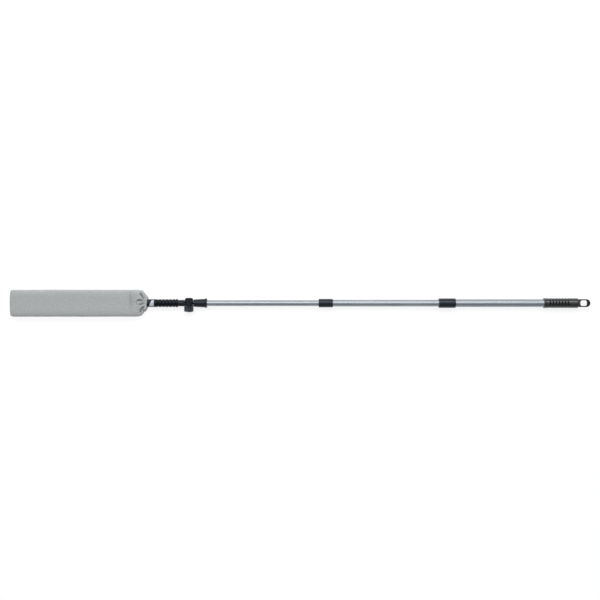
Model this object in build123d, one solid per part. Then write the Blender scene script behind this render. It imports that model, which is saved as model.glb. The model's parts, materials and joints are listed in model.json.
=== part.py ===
from build123d import *
import math
import os

# Telescopic flat duster: a washable microfibre sleeve on a padded blade, an angle joint with a
# clamp knob, and a three-section aluminium pole with two twist-lock collars. Millimetres.
# Each piece is drawn about the pole's axis and lifted by AXIS_HEIGHT when it is written, so that
# the duster lies on z = 0, its length along X and centred, the grip towards +X and the knob
# towards -Y.

# --- driving dimensions ---------------------------------------------------------------------
LENGTH = 1903.0            # fully extended, over the sleeve's end and the hanging loop
AXIS_HEIGHT = 16.8         # the pole's axis above the surface that the duster lies on
RUN = 0.06                 # radial clearance of a running fit

# pole
TUBE_R = {"small": 9.5, "middle": 11.0, "large": 12.5}
TUBE_WALL = {"small": 1.1, "middle": 0.9, "large": 0.9}
TUBE_X = {"small": (-328.0, 150.0), "middle": (76.0, 545.0), "large": (470.0, 905.0)}
FRONT_COLLAR_X = (61.4, 107.6)
REAR_COLLAR_X = (455.0, 509.5)
FRONT_COLLAR_R = 14.0
REAR_COLLAR_R = 15.7
COLLET_FLANGE = 11.0       # the fixed ring behind each lock nut
BUSH_LENGTH = 14.0

# grip and hanging loop
GRIP_X = (798.9, 913.8)
GRIP_R = 16.1
MOUTH_LIP_R = 16.5         # the grip's slightly wider mouth
CAP_NECK_R = 9.0           # where the loop's plug passes through the grip's end wall
GROOVES = 7
GROOVE_PITCH = 9.84
GROOVE_FIRST_X = 817.0
GROOVE_WIDTH = 4.8
GROOVE_DEPTH = 2.4
LOOP_WIDTH = 25.6
LOOP_THICKNESS = 10.0
LOOP_HOLE = (22.8, 18.0)
LOOP_HOLE_CORNER = 5.4
LOOP_HOLE_X = 930.5

# angle joint: the hinge axis runs along Y
HINGE_X = -364.0
EAR_R = 15.8
EAR_IN = 4.9               # from the middle of the joint to the inner face of each ear
EAR_OUT = 9.8
EAR_FLUTES = 10            # finger flutes round each ear
EYE_R = 15.3
EYE_HALF = 3.8             # half the thickness of the tongue's eye
DISC_THICKNESS = 1.0
FORK_BASE_X = -347.9
CONE_END_X = -305.1
CAP_R = 13.2
CAP_THICKNESS = 7.5
CAP_CHAMFER = 3.6
CAP_NOTCHES = 8
NOTCH_R = 1.3
CROWN_IN_R = 7.4           # the hollow inside the cap's crown
CROWN_HEIGHT = 2.4
BOLT_R = 3.0
BOLT_HEAD_FLATS = 10.0
BOLT_POCKET_Y = 12.4       # the bottom of the pocket that holds the bolt's head
BOLT_TIP_Y = -23.5
WASHER_R = 9.0
WASHER_Y = (-EAR_OUT - 1.2, -EAR_OUT)
KNOB_R = 16.0
KNOB_Y = (-EAR_OUT - 20.2, -EAR_OUT - 0.3)    # its domed end and its face by the ear
KNOB_DOME_R = 42.0
KNOB_LOBES = 5
KNOB_LOBE_R = 4.7
KNOB_CORE_R = 10.2
KNOB_START = 106.0         # degrees from +X to the first lobe, in the pose the joint rests in
INSERT = (5.0, 10.5)       # radius and length of the knob's brass insert
STEM_R = 6.5               # the pole tip's screw stem
SPIGOT = (7.0, 28.0)       # radius and length of the tongue's spigot in the handle

# handle of the duster head
HANDLE_X = (-546.0, -400.3)
HANDLE_R = 13.0
CORE_R = 10.4              # the handle's core under its overmould
NECK_R = 10.5
NECK_END_R = 10.9
NECK_END_X = -378.0
OVERMOULD_X = (-474.0, -406.8)
RIDGES = 6
RIDGE_PITCH = 11.5
RIDGES_END_X = -407.5
BEAD_R = 14.2
LABEL_X = (-493.2, -477.9)
LABEL_HALF = 10.0
LABEL_THICKNESS = 0.3

# blade, padding and sleeve
BLADE_SIZE = (62.0, 3.0)
BLADE_X = (-938.0, -550.0)
BLADE_Z = (-BLADE_SIZE[1] / 2, BLADE_SIZE[1] / 2)
TONGUE_END_X = -440.0
TONGUE_WIDTH = 18.0
RIVET_X = (-527.0, -511.0)
RIVET_R = 2.0
SLEEVE_SIZE = (88.6, 2 * AXIS_HEIGHT)
SLEEVE_CORNER = 15.5
SLEEVE_WALL = 2.0
SLEEVE_OPEN_X = -536.0     # where the plain sleeve ends and its gathered cuff begins
MOUTH_X = -500.0
MOUTH_R = 16.2
PAD_GAP = 0.5              # between the padding and the inside of the sleeve
END_ROUND = 9.0

START_X = -LENGTH / 2
END_X = LENGTH / 2


# --- shared helpers -------------------------------------------------------------------------
def spin(*points):
    """A solid turned about the pole's axis from the closed outline of (x, radius) points."""
    return revolve(make_face(Polyline(*[(x, 0, r) for x, r in points], close=True)), Axis.X)


def spin_edges(edges):
    """The same from edges that close in the XZ plane."""
    return revolve(make_face(edges), Axis.X)


def ring(x, outer, inner=0.0):
    """A plain ring or, with no inner radius, a disc, between the two ends of x."""
    return spin((x[0], inner), (x[0], outer), (x[1], outer), (x[1], inner))


def block(x, y, z):
    """A box between the two ends of x, y and z."""
    centre = [(low + high) / 2 for low, high in (x, y, z)]
    return Pos(*centre) * Box(x[1] - x[0], y[1] - y[0], z[1] - z[0])


def hinge_disc(y, radius):
    """A disc about the hinge axis between the two ends of y."""
    place = Pos(HINGE_X, (y[0] + y[1]) / 2, 0) * Rot(90, 0, 0)
    return place * Cylinder(radius, y[1] - y[0])


def around_hinge(count, circle_r, y, radius):
    """Rods parallel to the hinge axis, evenly round it, the first a half step from +X."""
    turns = [2 * math.pi * (i + 0.5) / count for i in range(count)]
    places = [Pos(circle_r * math.cos(t), 0, circle_r * math.sin(t)) for t in turns]
    return [place * hinge_disc(y, radius) for place in places]


def rims(shape, x, radius):
    """The circular edges about the pole's axis at x with that radius."""
    circles = shape.edges().filter_by(GeomType.CIRCLE)
    return [e for e in circles if abs(e.arc_center.X - x) < 0.01 and abs(e.radius - radius) < 0.01]


def hinge_rims(shape, y, radius):
    """The circular edges about the hinge axis at y with that radius."""
    circles = shape.edges().filter_by(GeomType.CIRCLE)
    return [e for e in circles if abs(e.arc_center.Y - y) < 0.01 and abs(e.radius - radius) < 0.01]


def edge_line(*points):
    """Straight edges through (x, radius) points, for spin_edges."""
    places = [(x, 0, r) for x, r in points]
    return [Line(a, b) for a, b in zip(places, places[1:])]


def edge_arc(start, middle, end):
    return [ThreePointArc(*[(x, 0, r) for x, r in (start, middle, end)])]


def wall_section(x, width, height, corner):
    """A rounded rectangle across the pole's axis at x."""
    plane = Plane((x, 0, 0), x_dir=(0, 1, 0), z_dir=(1, 0, 0))
    return plane * RectangleRounded(width, height, corner)


# --- pole -----------------------------------------------------------------------------------
def tube(name):
    outer = TUBE_R[name]
    return ring(TUBE_X[name], outer, outer - TUBE_WALL[name])


def guide_bush(inner_name, outer_name):
    """A ring round the inner end of one tube that slides in the next, with a lip over the end."""
    end = TUBE_X[inner_name][1]
    outer = TUBE_R[outer_name] - TUBE_WALL[outer_name] - RUN
    inner = TUBE_R[inner_name]
    lip = 2.0
    return spin(
        (end - BUSH_LENGTH, inner),
        (end - BUSH_LENGTH, outer),
        (end + lip, outer),
        (end + lip, inner - 3.0),
        (end, inner - 3.0),
        (end, inner),
    )


def collet(collar_x, collar_r, inner_name, outer_name):
    """Fixed to the outer tube's open end: a sleeve with a flange, and slotted fingers that grip."""
    bore = TUBE_R[inner_name] + RUN
    seat = TUBE_R[outer_name]
    shell = seat + 1.6
    end = TUBE_X[outer_name][0]
    flange_x = collar_x[1] - COLLET_FLANGE
    tip = collar_x[0] + 2.4
    root = end - 4.0
    body = spin(
        (tip, bore),
        (tip, shell - 1.3),
        (root, shell - 0.4),
        (root, shell),
        (flange_x, shell),
        (flange_x, collar_r),
        (collar_x[1], collar_r),
        (collar_x[1], seat),
        (end, seat),
        (end, bore),
    )
    body = fillet(rims(body, collar_x[1], collar_r), 1.2)
    fingers = 6
    for i in range(fingers // 2):
        slot = block((tip - 1, root - 0.5), (-2 * shell, 2 * shell), (-0.6, 0.6))
        body -= Rot(360 / fingers * i, 0, 0) * slot
    return body


def lock_nut(collar_x, collar_r, inner_name, outer_name):
    """Turns on the collet's sleeve and presses its fingers on the inner tube."""
    shell = TUBE_R[outer_name] + 1.6
    mouth = TUBE_R[inner_name] + 0.35
    root = TUBE_X[outer_name][0] - 4.0
    inside = collar_x[0] + 2.0
    back = collar_x[1] - COLLET_FLANGE - 0.4
    body = spin(
        (collar_x[0], mouth),
        (collar_x[0], collar_r),
        (back, collar_r),
        (back, shell + RUN),
        (root - 0.3, shell + RUN),
        (root - 0.3, shell - 0.3),
        (inside, shell - 1.2),
        (inside, mouth),
    )
    body = fillet(rims(body, collar_x[0], collar_r), 1.4)
    return fillet(rims(body, back, collar_r), 0.5)


def pole_grip():
    """A moulded grip with V-shaped ring grooves, a slightly flared mouth and a rounded end."""
    left, right = GRIP_X
    bore = TUBE_R["large"]
    tube_end = TUBE_X["large"][1]
    grooves = []
    last = (left + 6, GRIP_R)
    for i in range(GROOVES):
        x = GROOVE_FIRST_X + i * GROOVE_PITCH
        start, end = (x - GROOVE_WIDTH / 2, GRIP_R), (x + GROOVE_WIDTH / 2, GRIP_R)
        grooves += edge_line(last, start, (x, GRIP_R - GROOVE_DEPTH), end)
        last = end
    mouth = edge_line((left, MOUTH_LIP_R - 0.8), (left + 0.8, MOUTH_LIP_R))
    mouth += edge_line((left + 0.8, MOUTH_LIP_R), (left + 3, MOUTH_LIP_R), (left + 6, GRIP_R))
    shoulder = edge_line(last, (right - 7, GRIP_R))
    shoulder += edge_arc((right - 7, GRIP_R), (right - 2, GRIP_R - 1.8), (right, GRIP_R - 6))
    wall = [(right, GRIP_R - 6), (right, CAP_NECK_R), (tube_end, CAP_NECK_R), (tube_end, bore)]
    closing = edge_line(*wall, (left, bore), (left, MOUTH_LIP_R - 0.8))
    return spin_edges(mouth + grooves + shoulder + closing)


def hang_cap():
    """A plug in the pole's end, through the grip's end wall, that carries the hanging loop."""
    plug_r = TUBE_R["large"] - TUBE_WALL["large"]
    tube_end = TUBE_X["large"][1]
    plug = spin(
        (tube_end - 8, 0), (tube_end - 8, plug_r), (tube_end, plug_r), (tube_end, CAP_NECK_R),
        (GRIP_X[1], CAP_NECK_R), (GRIP_X[1], 0),
    )
    half = LOOP_WIDTH / 2
    straight = END_X - half - GRIP_X[1]
    outline = Pos(GRIP_X[1] + straight / 2, 0) * Rectangle(straight, LOOP_WIDTH)
    outline += Pos(END_X - half, 0) * Circle(half)
    outline -= Pos(LOOP_HOLE_X, 0) * RectangleRounded(*LOOP_HOLE, LOOP_HOLE_CORNER)
    loop = extrude(outline, LOOP_THICKNESS / 2, both=True)
    faces = loop.faces().filter_by(Axis.Z)
    loop = fillet(faces.edges(), 1.7)
    return plug + loop


# --- angle joint ----------------------------------------------------------------------------
def joint_fork():
    """The conical socket on the pole's tip, with two ears for the hinge bolt."""
    base_r = 12.2
    mouth_r = 14.2
    bead_r = 15.6
    bead_x = CONE_END_X - 7.0
    bead = [(bead_x, mouth_r), (CONE_END_X - 3.3, bead_r), (CONE_END_X, mouth_r)]
    seat_r = TUBE_R["small"]
    stem_x = (FORK_BASE_X + 3.4, TUBE_X["small"][0] - 3.0)
    outline = edge_line((FORK_BASE_X, 0), (FORK_BASE_X, base_r), bead[0])
    outline += edge_arc(*bead)
    outline += edge_line(bead[2], (CONE_END_X, seat_r), (stem_x[1], seat_r), (stem_x[1], STEM_R))
    outline += edge_line((stem_x[1], STEM_R), (stem_x[0], STEM_R), (stem_x[0], 0), (FORK_BASE_X, 0))
    body = spin_edges(outline)
    for side in (-1, 1):
        y = sorted((side * EAR_IN, side * EAR_OUT))
        root = block((HINGE_X, FORK_BASE_X + 3), y, (-11, 11))
        ear = hinge_disc(y, EAR_R)
        ear = chamfer(hinge_rims(ear, side * EAR_OUT, EAR_R), 1.0)
        body += ear - around_hinge(EAR_FLUTES, EAR_R + 1.6, (-20, 20), 2.9) + root
    return body - hinge_disc((-20, 20), BOLT_R + 0.1)


def tip_plug():
    """The pole's screw tip: a plug in the small tube with a stem in the socket."""
    end = TUBE_X["small"][0]
    bore = TUBE_R["small"] - TUBE_WALL["small"]
    return spin(
        (FORK_BASE_X + 3.9, 0), (FORK_BASE_X + 3.9, STEM_R), (end - 3, STEM_R), (end - 3, 9.4),
        (end, 9.4), (end, bore), (end + 22, bore), (end + 22, 0),
    )


def joint_tongue():
    """The head's half of the hinge: an eye between the ears, a neck and a spigot."""
    eye = hinge_disc((-EYE_HALF, EYE_HALF), EYE_R)
    web = block((NECK_END_X - 3, HINGE_X), (-EYE_HALF, EYE_HALF), (-11.0, 11.0))
    left, right = HANDLE_X[1], NECK_END_X
    neck = spin((left, 0), (left, NECK_R), (right, NECK_END_R), (right, 0))
    spigot = ring((HANDLE_X[1] - SPIGOT[1], HANDLE_X[1]), SPIGOT[0])
    relief = hinge_disc((-20, 20), EAR_R + 0.4) - hinge_disc((-EYE_HALF, EYE_HALF), 30)
    knob_relief = hinge_disc((-20, 0.1 - EAR_OUT), KNOB_R + 0.6)
    body = eye + web + (neck - relief - knob_relief) + spigot
    return body - hinge_disc((-20, 20), BOLT_R + RUN)


def friction_discs():
    """One on each side of the tongue's eye."""
    discs = []
    for side in (-1, 1):
        y = sorted((side * EYE_HALF, side * (EYE_HALF + DISC_THICKNESS)))
        discs.append(hinge_disc(y, 13.5) - hinge_disc(y, BOLT_R + 0.3))
    return Compound(children=discs)


def hinge_cap():
    """A crown-shaped cap on the +Y ear that holds the bolt's head from turning."""
    y = (EAR_OUT, EAR_OUT + CAP_THICKNESS)
    cap = hinge_disc(y, CAP_R)
    cap = chamfer(hinge_rims(cap, y[1], CAP_R), CAP_CHAMFER)
    crown_y = (y[1] - CROWN_HEIGHT, y[1] + 1)
    cap -= hinge_disc(crown_y, CROWN_IN_R)
    cap -= around_hinge(CAP_NOTCHES, CAP_R - CAP_CHAMFER, crown_y, NOTCH_R)
    cap -= around_hinge(CAP_NOTCHES, CAP_R + 0.6, (0, 30), 2.4)
    pocket = Plane((HINGE_X, BOLT_POCKET_Y, 0), x_dir=(1, 0, 0), z_dir=(0, 1, 0))
    hexagon = RegularPolygon(BOLT_HEAD_FLATS / 2, 6, major_radius=False)
    return cap - extrude(pocket * hexagon, 10) - hinge_disc((0, 20), BOLT_R + 0.1)


def hinge_bolt():
    """A hexagon-head bolt along the hinge axis."""
    plane = Plane((HINGE_X, BOLT_POCKET_Y, 0), x_dir=(1, 0, 0), z_dir=(0, 1, 0))
    head = extrude(plane * RegularPolygon(BOLT_HEAD_FLATS / 2, 6, major_radius=False), 3.9)
    shank = hinge_disc((BOLT_TIP_Y, BOLT_POCKET_Y), BOLT_R)
    shank = chamfer(hinge_rims(shank, BOLT_TIP_Y, BOLT_R), 0.6)
    return head + shank


def clamp_washer():
    return hinge_disc(WASHER_Y, WASHER_R) - hinge_disc(WASHER_Y, BOLT_R + 0.2)


def clamp_knob():
    """A lobed hand knob, recessed round the washer, with a pocket for its threaded insert."""
    far, near = KNOB_Y
    plane = Plane((HINGE_X, near, 0), x_dir=(1, 0, 0), z_dir=(0, -1, 0))
    outline = Circle(KNOB_CORE_R)
    for i in range(KNOB_LOBES):
        turn = Rot(0, 0, KNOB_START + 360 / KNOB_LOBES * i)
        outline += turn * Pos(KNOB_R - KNOB_LOBE_R, 0) * Circle(KNOB_LOBE_R)
    outline = fillet(outline.vertices(), 2.4)
    body = extrude(plane * outline, near - far)
    body &= Pos(HINGE_X, far + KNOB_DOME_R, 0) * Sphere(KNOB_DOME_R)
    body = fillet(body.faces().sort_by(Axis.Y)[0].edges(), 1.6)
    body = chamfer(body.faces().sort_by(Axis.Y)[-1].edges(), 0.8)
    body -= hinge_disc((WASHER_Y[0], near), WASHER_R + 0.3)
    body -= hinge_disc((far + 3.0, near), BOLT_R + 0.4)
    return body - hinge_disc((WASHER_Y[0] - INSERT[1], near), INSERT[0])


def knob_insert():
    y = (WASHER_Y[0] - INSERT[1], WASHER_Y[0])
    return hinge_disc(y, INSERT[0]) - hinge_disc(y, BOLT_R + RUN)


# --- duster head ----------------------------------------------------------------------------
def handle_body():
    """A round handle that holds the blade's tongue and the hinge tongue's spigot."""
    left, right = HANDLE_X
    body = spin(
        (left, 0), (left, 11.5), (left + 10, HANDLE_R), (OVERMOULD_X[0], HANDLE_R),
        (OVERMOULD_X[0], CORE_R), (right, CORE_R), (right, SPIGOT[0]),
        (right - SPIGOT[1], SPIGOT[0]), (right - SPIGOT[1], 0),
    )
    slot = block((left - 1, TONGUE_END_X), (-TONGUE_WIDTH / 2, TONGUE_WIDTH / 2), BLADE_Z)
    body -= slot
    for x in RIVET_X:
        body -= Pos(x, 0, 0) * Cylinder(RIVET_R, 4 * HANDLE_R)
    return body


def handle_grip():
    """The soft overmould: a row of rounded ridges that ends in a bead."""
    valley = 11.3
    left, right = OVERMOULD_X
    first = RIDGES_END_X - RIDGES * RIDGE_PITCH
    last = (first, valley)
    edges = edge_line((left, CORE_R), (left, HANDLE_R), last)
    for i in range(RIDGES):
        x = first + i * RIDGE_PITCH
        end = (x + RIDGE_PITCH, valley)
        edges += edge_arc(last, (x + RIDGE_PITCH / 2, HANDLE_R + 0.15), end)
        last = end
    edges += edge_line(last, (right, valley))
    bead = [(right, valley), ((right + HANDLE_X[1]) / 2, BEAD_R), (HANDLE_X[1], valley)]
    edges += edge_arc(*bead)
    edges += edge_line(bead[2], (HANDLE_X[1], CORE_R), (left, CORE_R))
    return spin_edges(edges)


def handle_label():
    """A blank label that wraps the top of the handle, with one slanted edge."""
    left, right = LABEL_X
    outline = make_face(
        Polyline(
            (left, -LABEL_HALF), (right, -LABEL_HALF), (right, LABEL_HALF),
            (left + 8.0, LABEL_HALF), close=True,
        )
    )
    wrap = ring((left - 5, right + 5), HANDLE_R + LABEL_THICKNESS, HANDLE_R)
    return wrap & extrude(outline, 2 * HANDLE_R)


def core_blade():
    """A flat, springy blade with rounded corners and a tongue that goes into the handle."""
    length = BLADE_X[1] - BLADE_X[0]
    plan = Pos((BLADE_X[0] + BLADE_X[1]) / 2, 0) * RectangleRounded(length, BLADE_SIZE[0], 12)
    tongue_length = TONGUE_END_X - BLADE_X[1] + 20
    plan += Pos(TONGUE_END_X - tongue_length / 2, 0) * Rectangle(tongue_length, TONGUE_WIDTH)
    for x in RIVET_X:
        plan -= Pos(x, 0) * Circle(RIVET_R)
    return extrude(plan, BLADE_SIZE[1] / 2, both=True)


def blade_rivets():
    return Compound(children=[Pos(x, 0, 0) * Cylinder(RIVET_R, 2 * HANDLE_R - 2) for x in RIVET_X])


def foam_pad(side):
    """Half of the rounded padding, above the blade for side 1 and below it for side -1."""
    inset = SLEEVE_WALL + PAD_GAP
    width, height = [s - 2 * inset for s in SLEEVE_SIZE]
    x = (START_X + inset, BLADE_X[1])
    slab = extrude(wall_section(x[0], width, height, SLEEVE_CORNER - inset), x[1] - x[0])
    slab = fillet(slab.faces().sort_by(Axis.X)[0].edges(), END_ROUND - inset)
    z = sorted((0, side * height))
    recess = block((x[0] + 6, x[1] + 1), (-BLADE_SIZE[0] / 2, BLADE_SIZE[0] / 2), BLADE_Z)
    return (slab & block((x[0] - 1, x[1] + 1), (-width, width), z)) - recess


def sleeve():
    """The plain length of the microfibre sleeve: a flat bag, open towards the handle."""
    outer = wall_section(START_X, *SLEEVE_SIZE, SLEEVE_CORNER)
    bag = extrude(outer, SLEEVE_OPEN_X - START_X)
    bag = fillet(bag.faces().sort_by(Axis.X)[0].edges(), END_ROUND)
    inner_size = [s - 2 * SLEEVE_WALL for s in SLEEVE_SIZE]
    inner = wall_section(START_X + SLEEVE_WALL, *inner_size, SLEEVE_CORNER - SLEEVE_WALL)
    hollow = extrude(inner, SLEEVE_OPEN_X - START_X)
    hollow = fillet(hollow.faces().sort_by(Axis.X)[0].edges(), END_ROUND - SLEEVE_WALL)
    return bag - hollow


def cuff_form(inset):
    """The gathered end's outline, from the full section down to the round mouth."""
    sections = []
    for t in (0, 0.2, 0.4, 0.6, 0.75, 0.87, 0.95, 1):
        x = SLEEVE_OPEN_X + t * (MOUTH_X - SLEEVE_OPEN_X)
        swell = (1 - t * t) ** 0.8
        width, height = [2 * (MOUTH_R + (s / 2 - MOUTH_R) * swell - inset) for s in SLEEVE_SIZE]
        corner = min(SLEEVE_CORNER + t * (MOUTH_R - SLEEVE_CORNER) - inset, height / 2 - 0.05)
        sections.append(wall_section(x, width, height, corner))
    return loft(sections, ruled=True)


def sleeve_cuff():
    return cuff_form(0.0) - cuff_form(SLEEVE_WALL)


def cuff_elastic():
    """A flat elastic band inside the cuff's hem, round the handle."""
    return ring((MOUTH_X - 9, MOUTH_X - 2), MOUTH_R - SLEEVE_WALL - 0.1, HANDLE_R + 0.2)


# --- write every piece ----------------------------------------------------------------------
FRONT = (FRONT_COLLAR_X, FRONT_COLLAR_R, "small", "middle")
REAR = (REAR_COLLAR_X, REAR_COLLAR_R, "middle", "large")

PARTS = {
    "sleeve": sleeve(),
    "sleeve_cuff": sleeve_cuff(),
    "cuff_elastic": cuff_elastic(),
    "core_blade": core_blade(),
    "foam_pad_top": foam_pad(1),
    "foam_pad_bottom": foam_pad(-1),
    "blade_rivets": blade_rivets(),
    "handle_body": handle_body(),
    "handle_grip": handle_grip(),
    "handle_label": handle_label(),
    "joint_tongue": joint_tongue(),
    "friction_discs": friction_discs(),
    "joint_fork": joint_fork(),
    "hinge_cap": hinge_cap(),
    "hinge_bolt": hinge_bolt(),
    "clamp_washer": clamp_washer(),
    "clamp_knob": clamp_knob(),
    "knob_insert": knob_insert(),
    "tip_plug": tip_plug(),
    "tube_small": tube("small"),
    "small_bush": guide_bush("small", "middle"),
    "lock_nut_front": lock_nut(*FRONT),
    "collet_front": collet(*FRONT),
    "tube_middle": tube("middle"),
    "middle_bush": guide_bush("middle", "large"),
    "lock_nut_rear": lock_nut(*REAR),
    "collet_rear": collet(*REAR),
    "tube_large": tube("large"),
    "pole_grip": pole_grip(),
    "hang_cap": hang_cap(),
}

os.makedirs("parts", exist_ok=True)
for name, shape in PARTS.items():
    export_step(Pos(0, 0, AXIS_HEIGHT) * shape, f"parts/{name}.step")
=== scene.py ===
"""The looks of a telescopic flat duster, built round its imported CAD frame. Metres."""
import json
import math

import bmesh
import bpy
import numpy as np
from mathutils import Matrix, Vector, noise


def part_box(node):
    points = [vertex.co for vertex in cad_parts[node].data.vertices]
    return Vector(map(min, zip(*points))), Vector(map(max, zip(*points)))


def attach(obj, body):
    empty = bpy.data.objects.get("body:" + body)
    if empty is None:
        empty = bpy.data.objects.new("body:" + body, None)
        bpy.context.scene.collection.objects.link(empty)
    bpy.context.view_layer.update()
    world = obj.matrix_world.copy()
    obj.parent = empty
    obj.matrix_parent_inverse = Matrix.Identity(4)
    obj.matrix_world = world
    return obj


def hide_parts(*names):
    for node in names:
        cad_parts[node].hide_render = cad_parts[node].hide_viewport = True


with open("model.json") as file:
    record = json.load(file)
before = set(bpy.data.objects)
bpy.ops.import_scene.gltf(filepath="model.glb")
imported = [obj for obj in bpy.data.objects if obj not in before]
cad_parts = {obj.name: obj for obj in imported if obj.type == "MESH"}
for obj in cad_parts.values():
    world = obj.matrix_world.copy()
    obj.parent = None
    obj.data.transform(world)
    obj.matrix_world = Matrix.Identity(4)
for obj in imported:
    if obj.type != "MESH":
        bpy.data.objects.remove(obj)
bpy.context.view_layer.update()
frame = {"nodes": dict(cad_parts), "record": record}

# --- places and sizes, from the frame ---------------------------------------------------------
SLEEVE_LOW, SLEEVE_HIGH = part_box("sleeve")
TUBE_LOW, TUBE_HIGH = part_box("tube_large")
AXIS_Z = (TUBE_LOW.z + TUBE_HIGH.z) / 2
SLEEVE_END = SLEEVE_LOW.x
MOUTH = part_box("sleeve_cuff")[1].x
CORE_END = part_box("foam_pad_top")[1].x
SLEEVE_WIDE = (SLEEVE_HIGH.y - SLEEVE_LOW.y) / 2     # half its width
SLEEVE_DEEP = (SLEEVE_HIGH.z - SLEEVE_LOW.z) / 2     # half its thickness
WALL = 0.002                 # the fabric's thickness with its pile
SECTION_POWER = 4.2          # how square the padded section is: 2 is an ellipse
DISH = 0.0009                # how much lower the padding's middle is than its edges


# --- camera, light and floor ------------------------------------------------------------------
VIEW_WIDTH = 1.9686          # metres across the picture at the height of the pole
VIEW_RISE = 0.0103           # how far the picture's centre is from the pole's axis
LENS = 50                    # mm
SENSOR = 36                  # mm
AIR = (0.93, 0.965, 1.0, 1)  # the surroundings' tint
DIM_SIDE = 0.32              # the surroundings' strength below the duster in the picture
BRIGHT_SIDE = 0.82           # and above it
ACROSS_RANGE = (-0.6, 0.35)  # the directions' Y between which it grows
DARK_ENDS = 0.25             # how much of that strength is left beyond the duster's two ends
ENDS_RANGE = (0.35, 0.9)     # the directions' X between which it falls
KEY_PLACE = (0, 1.28, 1.96)
KEY_SIZE = (3.8, 0.6)
KEY_POWER = 27.0
FLOOR_SIDE = 30.0            # half its width
FLOOR_TOP = -0.0005
FLOOR_SHADE = 0.30           # how much of the light on it the paper gives back
FLOOR_GLOW = 0.82            # keeps the paper white where the duster shades it


def camera():
    """Straight above the duster, far enough for its whole length, +Y up in the picture."""
    data = bpy.data.cameras.new("camera")
    data.lens = LENS
    data.sensor_width = SENSOR
    data.clip_start, data.clip_end = 0.05, 50
    cam = bpy.data.objects.new("camera", data)
    distance = VIEW_WIDTH * LENS / SENSOR
    cam.location = (0, VIEW_RISE, AXIS_Z + distance)
    bpy.context.scene.collection.objects.link(cam)
    bpy.context.scene.camera = cam


def strip_light():
    """One long light beyond the duster's +Y side, aimed at the middle of the pole."""
    data = bpy.data.lights.new("key", "AREA")
    data.shape = "RECTANGLE"
    data.size, data.size_y = KEY_SIZE
    data.energy = KEY_POWER
    light = bpy.data.objects.new("key", data)
    light.location = KEY_PLACE
    light.rotation_euler = (-Vector(KEY_PLACE)).to_track_quat("-Z", "Y").to_euler()
    bpy.context.scene.collection.objects.link(light)


def studio():
    """Surroundings that are bright on the +Y side, dim on the -Y side and darker at both ends."""
    world = bpy.data.worlds.new("world")
    world.use_nodes = True
    nodes, links = world.node_tree.nodes, world.node_tree.links
    background = nodes["Background"]
    background.inputs["Color"].default_value = AIR
    split = nodes.new("ShaderNodeSeparateXYZ")
    links.new(nodes.new("ShaderNodeTexCoord").outputs["Generated"], split.inputs["Vector"])
    towards_ends = nodes.new("ShaderNodeMath")
    towards_ends.operation = "ABSOLUTE"
    links.new(split.outputs["X"], towards_ends.inputs[0])
    across = ramp(world.node_tree, split.outputs["Y"], ACROSS_RANGE, (DIM_SIDE, BRIGHT_SIDE))
    ends = ramp(world.node_tree, towards_ends.outputs["Value"], ENDS_RANGE, (1, DARK_ENDS))
    both = nodes.new("ShaderNodeMath")
    both.operation = "MULTIPLY"
    links.new(across, both.inputs[0])
    links.new(ends, both.inputs[1])
    links.new(both.outputs["Value"], background.inputs["Strength"])
    scene = bpy.context.scene
    scene.world = world
    scene.view_settings.view_transform = "Standard"
    scene.view_settings.look = "None"
    scene.view_settings.exposure = 0.0


def ramp(tree, value, low_high, to_low_high):
    """A value mapped evenly from one range to another and clamped there."""
    node = tree.nodes.new("ShaderNodeMapRange")
    tree.links.new(value, node.inputs["Value"])
    node.inputs["From Min"].default_value, node.inputs["From Max"].default_value = low_high
    node.inputs["To Min"].default_value, node.inputs["To Max"].default_value = to_low_high
    return node.outputs["Result"]


def floor():
    """A sheet of white paper, which glows so that it stays white."""
    mesh = bpy.data.meshes.new("floor")
    turns = ((-1, -1), (1, -1), (1, 1), (-1, 1))
    corners = [(x * FLOOR_SIDE, y * FLOOR_SIDE, FLOOR_TOP) for x, y in turns]
    mesh.from_pydata(corners, [], [(0, 1, 2, 3)])
    obj = bpy.data.objects.new("floor", mesh)
    bpy.context.scene.collection.objects.link(obj)
    mat = bpy.data.materials.new("floor_paper")
    mat.use_nodes = True
    bsdf = mat.node_tree.nodes["Principled BSDF"]
    bsdf.inputs["Base Color"].default_value = (FLOOR_SHADE, FLOOR_SHADE, FLOOR_SHADE, 1)
    bsdf.inputs["Roughness"].default_value = 0.9
    bsdf.inputs["Emission Color"].default_value = (1, 1, 1, 1)
    bsdf.inputs["Emission Strength"].default_value = FLOOR_GLOW
    mesh.materials.append(mat)


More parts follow.
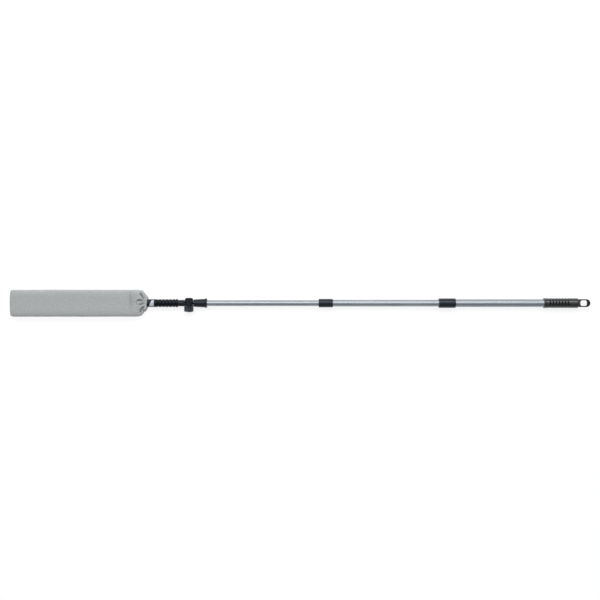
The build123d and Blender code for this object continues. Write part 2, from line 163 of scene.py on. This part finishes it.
# --- material building blocks -----------------------------------------------------------------
class Shader:
    """A principled material whose patterns are all read from object coordinates, in metres."""

    def __init__(self, name, metallic=0.0, **constants):
        self.mat = bpy.data.materials.new(name)
        self.mat.use_nodes = True
        self.nodes = self.mat.node_tree.nodes
        self.links = self.mat.node_tree.links
        self.bsdf = self.nodes["Principled BSDF"]
        self.bsdf.inputs["Metallic"].default_value = metallic
        for key, value in constants.items():
            self.bsdf.inputs[key.replace("_", " ")].default_value = value
        self.coords = self.nodes.new("ShaderNodeTexCoord").outputs["Object"]
        self.height = None

    def put(self, kind, **inputs):
        node = self.nodes.new(kind)
        for key, value in inputs.items():
            socket = node.inputs[key.replace("_", " ")]
            if isinstance(value, bpy.types.NodeSocket):
                self.links.new(value, socket)
            else:
                socket.default_value = value
        return node

    def place(self, stretch):
        """Object coordinates, scaled apart along the three axes."""
        return self.put("ShaderNodeMapping", Vector=self.coords, Scale=stretch).outputs["Vector"]

    def noise(self, scale, detail=2.0, stretch=(1, 1, 1), roughness=0.5):
        at = self.place(stretch)
        made = self.put("ShaderNodeTexNoise", Vector=at, Scale=scale, Detail=detail)
        made.inputs["Roughness"].default_value = roughness
        return made.outputs["Fac"]

    def cells(self, scale, feature="F1", stretch=(1, 1, 1)):
        made = self.put("ShaderNodeTexVoronoi", Vector=self.place(stretch), Scale=scale)
        made.feature = feature
        return made.outputs["Distance"]

    def spread(self, value, low, high, to_low=0.0, to_high=1.0):
        """A value's range low..high, mapped to another range and clamped there."""
        made = self.put("ShaderNodeMapRange", Value=value, From_Min=low, From_Max=high)
        made.inputs["To Min"].default_value = to_low
        made.inputs["To Max"].default_value = to_high
        return made.outputs["Result"]

    def mix(self, factor, first, second):
        made = self.nodes.new("ShaderNodeMix")
        made.data_type = "RGBA"
        self.links.new(factor, made.inputs["Factor"])
        for socket, value in ((made.inputs[6], first), (made.inputs[7], second)):
            if isinstance(value, bpy.types.NodeSocket):
                self.links.new(value, socket)
            else:
                socket.default_value = (*value, 1)
        return made.outputs[2]

    def colour(self, value):
        self.links.new(value, self.bsdf.inputs["Base Color"])

    def roughness(self, value):
        self.links.new(value, self.bsdf.inputs["Roughness"])

    def bump(self, height, distance, strength=1.0):
        """Adds a layer of relief, distance metres deep, over the layers already there."""
        node = self.put("ShaderNodeBump", Height=height, Distance=distance, Strength=strength)
        if self.height is not None:
            self.links.new(self.height, node.inputs["Normal"])
        self.height = node.outputs["Normal"]
        self.links.new(self.height, self.bsdf.inputs["Normal"])
        return self


def scaled(colour, factor):
    return tuple(c * factor for c in colour)


# --- materials --------------------------------------------------------------------------------
COOL = (0.76, 0.86, 1.0, 1)  # the tint of most plastics' reflections
NEUTRAL = (1.0, 1.0, 1.0, 1)
FABRIC = (0.676, 0.686, 0.676)
PAINTED_FOLD_SHADE = 0.38            # painted shade: how dark the pile is painted along a crease, in place of the crease's shadow


def anodised():
    """Satin anodised aluminium with fine drawn lines along the pole and faint handling marks."""
    s = Shader("anodised_aluminium", metallic=1.0, Specular_Tint=(0.30, 0.32, 0.35, 1))
    lines = s.noise(900, 3, (0.012, 1, 1))
    smudges = s.noise(22, 3, (0.4, 1, 1))
    tint = s.mix(s.spread(lines, 0.3, 0.7), (0.385, 0.415, 0.45), (0.455, 0.487, 0.52))
    s.colour(s.mix(s.spread(smudges, 0.45, 0.75), tint, (0.49, 0.517, 0.545)))
    s.roughness(s.spread(smudges, 0.3, 0.7, 0.40, 0.48))
    s.bump(lines, 0.00003, 0.5)
    return s.mat


def moulded(name, colour, low, high, specular=0.3, gleam=COOL):
    """A moulded plastic: fine grain, a roughness from low to high and light scuffs."""
    s = Shader(name, Specular_IOR_Level=specular, Specular_Tint=gleam)
    wide = s.noise(60, 3)
    scuffs = s.noise(500, 4, (0.15, 1, 1), 0.7)
    base = s.mix(s.spread(wide, 0.3, 0.7), scaled(colour, 0.8), scaled(colour, 1.25))
    s.colour(s.mix(s.spread(scuffs, 0.66, 0.82), base, scaled(colour, 2.6)))
    s.roughness(s.spread(wide, 0.3, 0.7, low, high))
    s.bump(s.noise(3200, 2), 0.00004, 0.6)
    return s.mat


def soft_rubber():
    """A soft overmould: dark, with a pebbled skin and a little dust."""
    s = Shader("soft_grip_rubber", Specular_IOR_Level=0.3, Specular_Tint=COOL)
    dust = s.noise(140, 4, roughness=0.7)
    s.colour(s.mix(s.spread(dust, 0.5, 0.85), (0.002, 0.0026, 0.0055), (0.008, 0.0095, 0.014)))
    s.roughness(s.spread(dust, 0.3, 0.7, 0.20, 0.32))
    s.bump(s.cells(1500), 0.00006, 0.5)
    return s.mat


def metal(name, colour, roughness, knurl=False):
    """Plated steel or brass with fine turned marks and slightly uneven tone."""
    s = Shader(name, metallic=1.0)
    marks = s.noise(2500, 2, (1, 0.1, 1))
    tone = s.noise(160, 3)
    s.colour(s.mix(s.spread(tone, 0.3, 0.7), scaled(colour, 0.82), colour))
    s.roughness(s.spread(tone, 0.3, 0.7, roughness * 0.8, roughness * 1.3))
    s.bump(marks, 0.00004 if knurl else 0.00002, 0.5)
    return s.mat


def foam():
    """Open-cell foam: pale, with dark pores of two sizes."""
    s = Shader("open_cell_foam", Roughness=0.95)
    pores = s.cells(900)
    large = s.cells(260)
    pale = s.mix(s.noise(30, 3), (0.66, 0.64, 0.56), (0.74, 0.72, 0.64))
    dotted = s.mix(s.spread(pores, 0.05, 0.4), (0.30, 0.29, 0.25), pale)
    s.colour(s.mix(s.spread(large, 0.02, 0.12), (0.24, 0.23, 0.20), dotted))
    s.bump(pores, 0.0006, 0.7)
    s.bump(large, 0.0010, 0.6)
    return s.mat


def microfibre(name, colour, loops=1.0):
    """Short looped pile: tight loops, soft tufts and a slow mottle, with painted shade in the creases
    and the dent.
    """
    s = Shader(name, Roughness=0.95, Sheen_Weight=0.35, Sheen_Roughness=0.5)
    loop = s.cells(780 / loops, stretch=(1, 0.8, 1))
    tuft = s.noise(330, 3, roughness=0.65)
    mottle = s.noise(125, 3, (0.9, 1, 1), 0.6)
    shade = s.mix(s.spread(mottle, 0.3, 0.7), scaled(colour, 0.88), scaled(colour, 1.10))
    shade = s.mix(s.spread(tuft, 0.62, 0.30), shade, scaled(colour, 0.80))
    shade = s.mix(s.spread(loop, 0.35, 0.75), shade, scaled(colour, 0.70))
    # painted shade: the creases' and the dent's shadow, read from the "fold" attribute and mixed into
    # the base colour
    painted_shade = s.nodes.new("ShaderNodeAttribute")
    painted_shade.attribute_name = "fold"
    s.colour(s.mix(painted_shade.outputs["Fac"], shade, scaled(colour, PAINTED_FOLD_SHADE)))
    s.bump(tuft, 0.0010, 0.8)
    s.bump(loop, -0.0006, 0.7)
    return s.mat


def elastic():
    """Braided elastic: fine ribs round the handle."""
    s = Shader("braided_elastic", Roughness=0.8)
    ribs = s.noise(1200, 1, (1, 0.15, 0.15))
    s.colour(s.mix(s.spread(ribs, 0.35, 0.65), (0.45, 0.45, 0.43), (0.72, 0.72, 0.70)))
    s.bump(ribs, 0.0002, 0.8)
    return s.mat


def label_film():
    """A blank printed film, cool white with a faint silvery cast."""
    s = Shader("blank_label", Roughness=0.35)
    cast = s.noise(90, 2, (0.4, 1, 1))
    s.colour(s.mix(s.spread(cast, 0.35, 0.65), (0.62, 0.66, 0.74), (0.82, 0.85, 0.90)))
    s.bump(s.noise(1800, 2), 0.00003, 0.4)
    return s.mat


def thread():
    """Pale twisted sewing thread."""
    s = Shader("sewing_thread", Roughness=0.8)
    twist = s.noise(2600, 2, (1, 0.4, 0.4))
    s.colour(s.mix(s.spread(twist, 0.35, 0.65), (0.42, 0.43, 0.42), (0.66, 0.67, 0.66)))
    s.bump(twist, 0.0001, 0.8)
    return s.mat


def lining():
    """Pressed friction lining: dark, fibrous and speckled."""
    s = Shader("friction_lining", Roughness=0.9)
    specks = s.cells(1800)
    s.colour(s.mix(s.spread(specks, 0.1, 0.5), (0.20, 0.15, 0.10), (0.055, 0.045, 0.04)))
    s.bump(s.noise(2200, 3), 0.00015, 0.6)
    return s.mat


MATERIALS = {
    "anodised": anodised(),
    "black_plastic": moulded("black_nylon", (0.0060, 0.0075, 0.0120), 0.28, 0.42, 0.45),
    "knob_plastic": moulded("knob_nylon", (0.048, 0.054, 0.068), 0.30, 0.44),
    "grip_plastic": moulded("grip_polymer", (0.0025, 0.0026, 0.0028), 0.14, 0.24, 1.0, NEUTRAL),
    "loop": moulded("loop_polymer", (0.0090, 0.0092, 0.0098), 0.38, 0.50, 0.3, NEUTRAL),
    "collar_plastic": moulded("collar_polymer", (0.0050, 0.0060, 0.0095), 0.24, 0.36, 0.6),
    "blade_plastic": moulded("blade_polypropylene", (0.05, 0.05, 0.053), 0.42, 0.55),
    "bush_plastic": moulded("natural_acetal", (0.62, 0.62, 0.58), 0.35, 0.5),
    "soft_grip": soft_rubber(),
    "zinc_steel": metal("zinc_plated_steel", (0.62, 0.63, 0.64), 0.3),
    "brass": metal("turned_brass", (0.72, 0.53, 0.24), 0.28, knurl=True),
    "label_film": label_film(),
    "friction_lining": lining(),
    "elastic": elastic(),
    "foam": foam(),
    "microfibre": microfibre("microfibre_pile", FABRIC),
    "hem": microfibre("microfibre_hem", scaled(FABRIC, 1.08), loops=0.8),
    "thread": thread(),
}


def finish_cad_nodes():
    """Gives every carried-over CAD node the detailed material of its slot, duller on the loop."""
    for part in frame["record"]["subparts"]:
        obj = frame["nodes"][part["node"]]
        name = "loop" if part["node"] == "hang_cap" else part["material_slot"]
        for place in obj.material_slots:
            place.material = MATERIALS[name]


# --- mesh helpers -----------------------------------------------------------------------------
def mesh_object(name, points, faces, material):
    mesh = bpy.data.meshes.new(name)
    mesh.from_pydata([tuple(p) for p in points], [], faces)
    mesh.materials.append(material)
    mesh.update()
    mesh.shade_smooth()
    obj = bpy.data.objects.new(name, mesh)
    bpy.context.scene.collection.objects.link(obj)
    return obj


def loft(rows):
    """Faces between rings of the same count of points."""
    count = len(rows[0])
    faces = []
    for r in range(len(rows) - 1):
        a, b = r * count, (r + 1) * count
        for i in range(count):
            j = (i + 1) % count
            faces.append((a + i, a + j, b + j, b + i))
    return faces


def section_angles(wide, deep, count):
    """Angles that space points evenly round a superellipse."""
    fine = np.linspace(0, 2 * math.pi, 4001)
    y, z = superellipse(fine, wide, deep)
    run = np.concatenate([[0], np.cumsum(np.hypot(np.diff(y), np.diff(z)))])
    return np.interp(np.arange(count) / count * run[-1], run, fine)


def superellipse(angle, wide, deep, power=SECTION_POWER):
    c, s = np.cos(angle), np.sin(angle)
    return (
        wide * np.sign(c) * np.abs(c) ** (2 / power),
        deep * np.sign(s) * np.abs(s) ** (2 / power),
    )


def row_normals(rows):
    """Outward normals of a grid of rings, from its neighbours along and around."""
    around = np.roll(rows, -1, axis=1) - np.roll(rows, 1, axis=1)
    along = np.gradient(rows, axis=0)
    normal = np.cross(around, along)
    return normal / np.maximum(np.linalg.norm(normal, axis=2, keepdims=True), 1e-12)


def rough(points, scale, seed):
    """Smooth noise from -1 to 1 at each point, its features about 1 / scale metres wide."""
    flat = points.reshape(-1, 3) * scale + seed
    return np.array([noise.noise(Vector(p)) for p in flat]).reshape(points.shape[:-1])


def bell(value, width):
    return np.exp(-((value / width) ** 2))


def ease(value, start, end):
    """0 before start, 1 after end, smooth between."""
    t = np.clip((value - start) / (end - start), 0, 1)
    return t * t * (3 - 2 * t)


# --- duster head: the sleeve's shape ------------------------------------------------------------
AROUND = 200                 # points round the sleeve
CUFF_START = CORE_END - 0.006
BODY_RINGS = 265
CUFF_RINGS = 76
END_RINGS = 10
END_ROUND = 0.013            # how far the closed end takes to reach the full thickness
END_CORNER = 0.007           # how much narrower the closed end's seam is on each side
END_BOW = 0.0018             # how far the closed end's middle stands out past its corners
FROM_MOUTH = (0.001, 0.0185, 0.027, 0.042)           # the gathered end's sections, and their
GATHERED_WIDE = (0.0192, 0.0424, 0.0439, SLEEVE_WIDE)        # half widths
GATHERED_DEEP = (0.0148, 0.0160, 0.0166, SLEEVE_DEEP)        # and half thicknesses
SHOULDER_SOFT = 0.0020       # how far each corner of that outline is rounded
SLANT = 0.07                 # how far the gathered end is pulled askew
FOLDS = 14                   # soft folds all round the gathered end
FOLD_DEPTH = 0.0020
FOLD_SEED = 7
GATHERS = 31                 # fine gathers along the elastic
GATHER_DEPTH = 0.0010
HEM_INSIDE_R = 0.0143        # where the hem sits on the elastic
HEM_WIDTH = 0.0085
HEM_ROLL = 0.0013
HEM_GROOVE = 0.0015          # the line pressed in by the hem's stitching
HEM_RINGS = 11               # how many of the cuff's last rings the hem's band covers
STITCH_RING = 10             # which ring the stitches follow, counted from the mouth
HEM_RISE = 0.0009            # how far the hem's band stands off the sleeve
HEM_SINK = 0.0003            # and how far its underside is in the pile
STITCH_RISE = 0.0010
STITCH_R = 0.00035
STITCH_SIDES = 8
STITCH_SHAPE = ((-0.15, 0.05), (0.1, 0.8), (0.5, 1.0), (0.9, 0.8), (1.15, 0.05))    # (along, fat)
SEAM_RIDGE = 0.0008
PILE = 0.00035
FLOOR_GAP = 0.0002
BULGE = 0.0026               # how much the upper face puffs up over the handle
DENT_PLACE = CORE_END - 0.0034       # the dent in the fabric by the padding's end
DENT_DEPTH = 0.0032
DENT_HALF = 0.026            # how far it reaches to each side
DENT_SHADE = 0.45            # how much painted shade the dent gets, as a share of a crease's painted shade
CREASE_WIDTH = 0.0026
LIP_PLACE = 0.0062           # how far the raised lips are from the crease's line
LIP_WIDTH = 0.0030
LOWER_SHARE = 0.5            # how deep the lower face's creases are beside the upper face's
# The creases of the upper face: depth, lips' height and (distance from the mouth, across) points.
CREASES = (
    (0.0062, 0.0022, (0.0222, 0.0350), (0.0165, 0.0245), (0.0095, 0.0130)),
    (0.0056, 0.0022, (0.0335, 0.0062), (0.0250, 0.0088), (0.0110, 0.0080)),
    (0.0046, 0.0020, (0.0250, -0.0062), (0.0180, -0.0036), (0.0100, 0.0002)),
    (0.0062, 0.0024, (0.0090, -0.0100), (0.0160, -0.0180), (0.0195, -0.0250), (0.0215, -0.0330)),
    (0.0036, 0.0000, (0.0068, -0.0195), (0.0120, -0.0280)),
    (0.0020, 0.0000, (0.0330, 0.0060), (0.0350, -0.0010), (0.0310, -0.0075)),
)


def nearing_mouth(x, start, end=0.0):
    """0 while x is farther than start from the mouth, 1 once it is nearer than end."""
    return ease(x, MOUTH - start, MOUTH - end)


def sleeve_profile(x):
    """Half width, half thickness and squareness of the sleeve's section at x."""
    spots = MOUTH - x + SHOULDER_SOFT * np.array([-1, 0, 1])
    wide = np.interp(spots, FROM_MOUTH, GATHERED_WIDE).mean()
    deep = np.interp(spots, FROM_MOUTH, GATHERED_DEEP).mean()
    a = np.clip((x - SLEEVE_END) / END_ROUND, 0, 1)
    closing = np.sqrt(1 - (1 - a) ** 2)
    wide = wide - END_CORNER * (1 - closing)
    round_off = nearing_mouth(x, 0.030)
    return wide, deep * closing, SECTION_POWER - round_off * (SECTION_POWER - 2)


def sleeve_base(xs):
    """Rings of points for the places xs along the sleeve, before folds and pile."""
    angles = section_angles(SLEEVE_WIDE, SLEEVE_DEEP, AROUND)
    even = np.arange(AROUND) / AROUND * 2 * math.pi
    rows = []
    for x in xs:
        wide, deep, power = sleeve_profile(x)
        turned = angles + (even - angles) * nearing_mouth(x, 0.036)
        y, z = superellipse(turned, wide, deep, power)
        bow = END_BOW * (y / SLEEVE_WIDE) ** 2 * ease(-x, -SLEEVE_END - 0.03, -SLEEVE_END)
        askew = SLANT * y * nearing_mouth(x, 0.050, 0.020)
        rows.append(np.stack([np.full(AROUND, x) + bow + askew, y, z + AXIS_Z], axis=1))
    return np.array(rows)


def fold_relief(xs):
    """Soft folds, fine gathers and the hem's stitched line, as distances outward."""
    rng = np.random.default_rng(FOLD_SEED)
    depth = 0.5 + rng.random(FOLDS)
    start = MOUTH - 0.026 - 0.014 * rng.random(FOLDS)
    sway = 0.5 * (rng.random(FOLDS) - 0.5)
    u = np.arange(AROUND) / AROUND
    less_on_top = 1 - 0.7 * ease(np.sin(2 * math.pi * u), 0.0, 0.5)
    relief = np.zeros((len(xs), AROUND))
    for r, x in enumerate(xs):
        for k in range(FOLDS):
            away = (u - (k + sway[k]) / FOLDS + 0.5) % 1 - 0.5
            grows = ease(x, start[k], start[k] + 0.020)
            fades = 1 - 0.5 * nearing_mouth(x, HEM_WIDTH + 0.003)
            fold = depth[k] * grows * fades * less_on_top * bell(away * FOLDS, 0.28)
            relief[r] -= FOLD_DEPTH * fold
        fine = nearing_mouth(x, HEM_WIDTH + 0.008, HEM_WIDTH - 0.002)
        phase = GATHERS * u + 0.3 * np.sin(9 * u) + 0.25 * np.sin(31 * u + 160 * (x - MOUTH))
        relief[r] += GATHER_DEPTH * fine * np.cos(2 * math.pi * phase)
        relief[r] -= HEM_GROOVE * bell(x - (MOUTH - HEM_WIDTH), 0.0012)
    return relief


def crease_relief(rows):
    """The creases of the upper face and, mirrored, of the lower, and how much painted shade each
    point gets.
    """
    away = MOUTH - rows[:, :, 0]
    height = (rows[:, :, 2] - AXIS_Z) / SLEEVE_DEEP
    over_handle = bell(rows[:, :, 1], 0.020) * ease(height, 0.3, 0.8)
    relief = BULGE * over_handle * ease(away, 0.007, 0.015) * (1 - ease(away, 0.030, 0.044))
    painted_shade = np.zeros(away.shape)
    for side, share in ((1, 1.0), (-1, LOWER_SHARE)):
        facing = share * ease(side * height, 0.1, 0.5)
        for depth, lip, *line in CREASES:
            near, along = line_distance(away, side * rows[:, :, 1], line)
            ends = ease(along, 0, 0.22) * (1 - ease(along, 0.85, 1.0))
            valley = bell(near, CREASE_WIDTH) + 0.3 * bell(near, 3 * CREASE_WIDTH)
            relief -= depth * facing * ends * valley
            relief += lip * facing * ends * bell(near - LIP_PLACE, LIP_WIDTH)
            # painted shade, darkest on each crease's line and in the deepest creases
            deepness = depth / CREASES[0][0] * facing * ends * bell(near, 0.8 * CREASE_WIDTH)
            painted_shade = np.maximum(painted_shade, deepness)
    return relief, painted_shade


def line_distance(across, up, line):
    """How far each point is from a bent line, and how far along the line it is, from 0 to 1."""
    best = np.full(across.shape, 1.0)
    along = np.zeros(across.shape)
    parts = len(line) - 1
    for i, (start, end) in enumerate(zip(line, line[1:])):
        run, rise = end[0] - start[0], end[1] - start[1]
        t = ((across - start[0]) * run + (up - start[1]) * rise) / (run * run + rise * rise)
        t = np.clip(t, 0, 1)
        near = np.hypot(across - start[0] - t * run, up - start[1] - t * rise)
        along = np.where(near < best, (i + t) / parts, along)
        best = np.minimum(best, near)
    return best, along


def padding_dent(rows, xs):
    """How much the fabric sinks in by the padding's end, from 0 to about 1."""
    away = np.asarray(xs)[:, None] - DENT_PLACE
    across = bell(rows[:, :, 1] - 0.006, DENT_HALF)
    return across * (bell(away, 0.0034) + 0.25 * bell(away - 0.009, 0.008))


def body_relief(rows, xs):
    """The dent by the padding's end, the side seams, the dished middle and slow waves."""
    y, z = rows[:, :, 1], rows[:, :, 2] - AXIS_Z
    x = np.asarray(xs)[:, None]
    relief = -DENT_DEPTH * padding_dent(rows, xs)
    from_seam = np.where(np.abs(y) > SLEEVE_WIDE * 0.5, np.abs(z), 1.0)
    before_hem = 1 - nearing_mouth(x, 0.03, 0.015)
    relief += before_hem * SEAM_RIDGE * (bell(from_seam, 0.0011) - 0.8 * bell(from_seam, 0.0034))
    inner = np.clip(np.abs(y) / (0.8 * SLEEVE_WIDE), 0, 1)
    relief -= DISH * before_hem * (1 + np.cos(math.pi * inner)) / 2
    relief += 0.00035 * rough(rows, 14, 3.1) + 0.0002 * rough(rows, 45, 9.7)
    return relief


def pile_relief(rows):
    """Tufts of two sizes."""
    return PILE * (0.6 * rough(rows, 420, 5.3) + 0.6 * rough(rows, 190, 1.9))


def above_floor(rows):
    """Presses the sleeve flat where it lies on the floor."""
    rows[:, :, 2] = np.maximum(rows[:, :, 2], FLOOR_GAP)
    return rows


def hem_circle(rows):
    """The same points drawn in to the round inside of the hem, on the elastic."""
    axis = np.array([0, 0, AXIS_Z])
    outward = (rows - axis) * [0, 1, 1]
    outward /= np.maximum(np.linalg.norm(outward, axis=2, keepdims=True), 1e-9)
    return rows * [1, 0, 0] + axis + outward * HEM_INSIDE_R


def sleeve_surfaces():
    """The sleeve's outer and inner rings, how many are the cuff's, and the painted shade of the
    creases and the dent.
    """
    cap = SLEEVE_END + END_ROUND * (1 - np.cos(np.linspace(0, math.pi / 2, END_RINGS)))
    body = np.linspace(cap[-1], CUFF_START, BODY_RINGS)[1:]
    cuff = np.linspace(CUFF_START, MOUTH - HEM_ROLL, CUFF_RINGS)[1:]
    xs = np.concatenate([cap, body, cuff])
    rows = sleeve_base(xs)
    quiet = ease(xs, SLEEVE_END + 0.002, SLEEVE_END + END_ROUND)[:, None]
    creases, painted_shade = crease_relief(rows)
    # painted shade in the dent by the padding's end
    painted_shade = np.maximum(painted_shade, DENT_SHADE * padding_dent(rows, xs))
    relief = fold_relief(xs) + creases + body_relief(rows, xs)
    rows = rows + row_normals(rows) * (quiet * relief)[:, :, None]
    normal = row_normals(rows)
    normal[0] = 0
    outside = rows + normal * (quiet * pile_relief(rows))[:, :, None]
    inside = rows - normal * WALL
    inside[0] = rows[1]
    drawn = nearing_mouth(xs, 0.016, 0.006)[:, None, None]
    inside = inside * (1 - drawn) + hem_circle(rows) * drawn
    return outside, inside, len(cuff), painted_shade


def rolled_edge(outside, inside):
    """Rings that turn from the last outer ring round to the last inner one."""
    start, end = outside[-1], inside[-1]
    middle, half = (start + end) / 2, (start - end) / 2
    turns = np.linspace(0, math.pi, 8)[1:-1]
    return np.array([
        middle + half * math.cos(turn) + np.array([HEM_ROLL * math.sin(turn), 0, 0])
        for turn in turns
    ])


# --- duster head: its soft pieces -----------------------------------------------------------------
PAD_START = 0.0065           # how far the padding starts inside the sleeve's closed end
PAD_INSET = 0.0054           # how far it is inside the sleeve's sides, before it swells
PAD_ROUND = 0.008            # how far its ends take to reach the full section
PAD_CORNER = 0.004           # how much narrower each end is on each side
PAD_THIN = 0.25              # the least thickness of its ends, as a share of the full one
PAD_POWER = 3.6
PAD_RINGS = 70
PAD_AROUND = 64
PAD_VOXEL = 0.005
PAD_PRESSURE = 4
PAD_STEPS = 20               # steps of the cloth simulation
PAD_SWELL = 0.0016           # the most that any point of it moves
PAD_LINE = 0.0008            # how deep the joint line between its two halves is
PAD_LINE_WIDTH = 0.0022


def sleeve(outside, inside, cuff_rows, painted_shade):
    """A washable bag of looped microfibre, its inner surface made of fewer rings than its outer."""
    roll = rolled_edge(outside, inside)
    depth = len(outside) - cuff_rows
    back = [inside[depth::3][::-1], inside[12:depth:9][::-1], inside[3:10:3][::-1]]
    sealed = inside[3:4].copy()
    sealed[:, :, 2] = AXIS_Z
    rings = above_floor(np.concatenate([outside, roll, *back, sealed]))
    obj = mesh_object("microfibre_sleeve", rings.reshape(-1, 3), loft(rings), MATERIALS["microfibre"])
    # the painted shade of the creases and the dent, kept as the "fold" attribute
    fold = np.zeros(rings.shape[:2])
    fold[:len(outside)] = painted_shade
    obj.data.attributes.new("fold", "FLOAT", "POINT").data.foreach_set("value", fold.ravel())
    weld_ends(obj)
    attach(obj, "sleeve_bag")
    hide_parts("sleeve", "sleeve_cuff")


def sleeve_hem(outside):
    """The folded band along the mouth, sewn over the elastic."""
    rows = outside[-HEM_RINGS:]
    normal = row_normals(rows)
    grows = np.clip(np.linspace(0, 5, len(rows)), 0.2, 1)[:, None, None]
    upper = rows + normal * HEM_RISE * grows
    under = rows - normal * HEM_SINK
    rings = above_floor(np.concatenate([upper, under[::-1], upper[:1]]))
    obj = mesh_object("sleeve_hem", rings.reshape(-1, 3), loft(rings), MATERIALS["hem"])
    weld_ends(obj)
    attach(obj, "sleeve_bag")
    return obj


def hem_stitching(outside):
    """Single thread stitches round the hem's inner edge."""
    rows = outside[-STITCH_RING:]
    ring = rows[0] + row_normals(rows)[0] * STITCH_RISE
    points, faces = [], []
    for i in range(0, AROUND, 2):
        a, b = Vector(ring[i]), Vector(ring[(i + 1) % AROUND])
        add_stitch(points, faces, a, b)
    obj = mesh_object("hem_stitching", points, faces, MATERIALS["thread"])
    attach(obj, "sleeve_bag")
    return obj


def add_stitch(points, faces, a, b):
    """A short plump thread from a to b, closed at both ends."""
    along = (b - a).normalized()
    side = along.cross(Vector((1, 0, 0))).normalized()
    up = along.cross(side)
    base = len(points)
    rings = []
    for t, fat in STITCH_SHAPE:
        turns = [2 * math.pi * i / STITCH_SIDES for i in range(STITCH_SIDES)]
        spokes = [side * math.cos(turn) + up * math.sin(turn) for turn in turns]
        rings.append([a.lerp(b, t) + spoke * STITCH_R * fat for spoke in spokes])
    for ring in rings:
        points += ring
    faces += [tuple(base + i for i in face) for face in loft(rings)]
    last = base + (len(rings) - 1) * STITCH_SIDES
    faces.append(tuple(base + i for i in reversed(range(STITCH_SIDES))))
    faces.append(tuple(last + i for i in range(STITCH_SIDES)))


def weld_ends(obj):
    """Joins the points of the first and last rings that lie together, as along a seam."""
    bm = bmesh.new()
    bm.from_mesh(obj.data)
    bm.verts.ensure_lookup_table()
    ends = list(bm.verts[:AROUND]) + list(bm.verts[-AROUND:])
    bmesh.ops.remove_doubles(bm, verts=ends, dist=0.00005)
    bmesh.ops.dissolve_degenerate(bm, dist=0.000001, edges=bm.edges)
    bmesh.ops.recalc_face_normals(bm, faces=bm.faces)
    bm.to_mesh(obj.data)
    bm.free()


def padding_form():
    """Points and faces of the padding before it swells: a long cushion with rounded ends."""
    xs = np.linspace(SLEEVE_END + PAD_START, CORE_END, PAD_RINGS)
    rows = []
    for x in xs:
        ends = min(x - xs[0], xs[-1] - x)
        closing = math.sqrt(1 - (1 - min(1.0, ends / PAD_ROUND)) ** 2)
        wide = (SLEEVE_WIDE - PAD_INSET) - PAD_CORNER * (1 - closing)
        deep = (SLEEVE_DEEP - PAD_INSET) * max(closing, PAD_THIN)
        y, z = superellipse(section_angles(wide, deep, PAD_AROUND), wide, deep, PAD_POWER)
        rows.append(np.stack([np.full(PAD_AROUND, x), y, z + AXIS_Z], axis=1))
    first = tuple(range(PAD_AROUND))[::-1]
    last = tuple(range((PAD_RINGS - 1) * PAD_AROUND, PAD_RINGS * PAD_AROUND))
    return np.array(rows).reshape(-1, 3), loft(rows) + [first, last]


def padding():
    """The foam round the blade: a closed form that a cloth simulation puffs up a little."""
    obj = mesh_object("padding", *padding_form(), MATERIALS["foam"])
    remesh = obj.modifiers.new("remesh", "REMESH")
    remesh.mode = "VOXEL"
    remesh.voxel_size = PAD_VOXEL
    bake_modifiers(obj)
    puff_up(obj)
    smooth = obj.modifiers.new("subdivision", "SUBSURF")
    smooth.levels = smooth.render_levels = 1
    bake_modifiers(obj)
    press_joint_line(obj)
    obj.data.shade_smooth()
    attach(obj, "head")
    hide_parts("foam_pad_top", "foam_pad_bottom")


def bake_modifiers(obj):
    """Puts the mesh that the modifiers give in place of the object's own, and removes them."""
    graph = bpy.context.evaluated_depsgraph_get()
    made = bpy.data.meshes.new_from_object(obj.evaluated_get(graph))
    obj.modifiers.clear()
    obj.data = made


def puff_up(obj):
    """A short cloth simulation under pressure, each point's travel capped."""
    scene = bpy.context.scene
    start = np.array([v.co[:] for v in obj.data.vertices])
    cloth = obj.modifiers.new("cloth", "CLOTH")
    cloth.settings.use_pressure = True
    cloth.settings.uniform_pressure_force = PAD_PRESSURE
    cloth.settings.effector_weights.gravity = 0
    for step in range(1, PAD_STEPS + 1):
        scene.frame_set(step)
    bake_modifiers(obj)
    scene.frame_set(1)
    end = np.array([v.co[:] for v in obj.data.vertices])
    travel = np.linalg.norm(end - start, axis=1, keepdims=True)
    end = start + (end - start) * np.minimum(1, PAD_SWELL / np.maximum(travel, 1e-9))
    obj.data.vertices.foreach_set("co", end.ravel())
    obj.data.update()


def press_joint_line(obj):
    """The line where the padding's two halves meet, pressed in round its sides."""
    for v in obj.data.vertices:
        near = math.exp(-(((v.co.z - AXIS_Z) / PAD_LINE_WIDTH) ** 2))
        v.co -= v.normal * PAD_LINE * near
    obj.data.update()


# --- put it together --------------------------------------------------------------------------
camera()
studio()
strip_light()
floor()
finish_cad_nodes()
outside, inside, cuff_rows, painted_shade = sleeve_surfaces()
sewn = [sleeve_hem(outside), hem_stitching(outside)]
padding()
sleeve(outside, inside, cuff_rows, painted_shade)
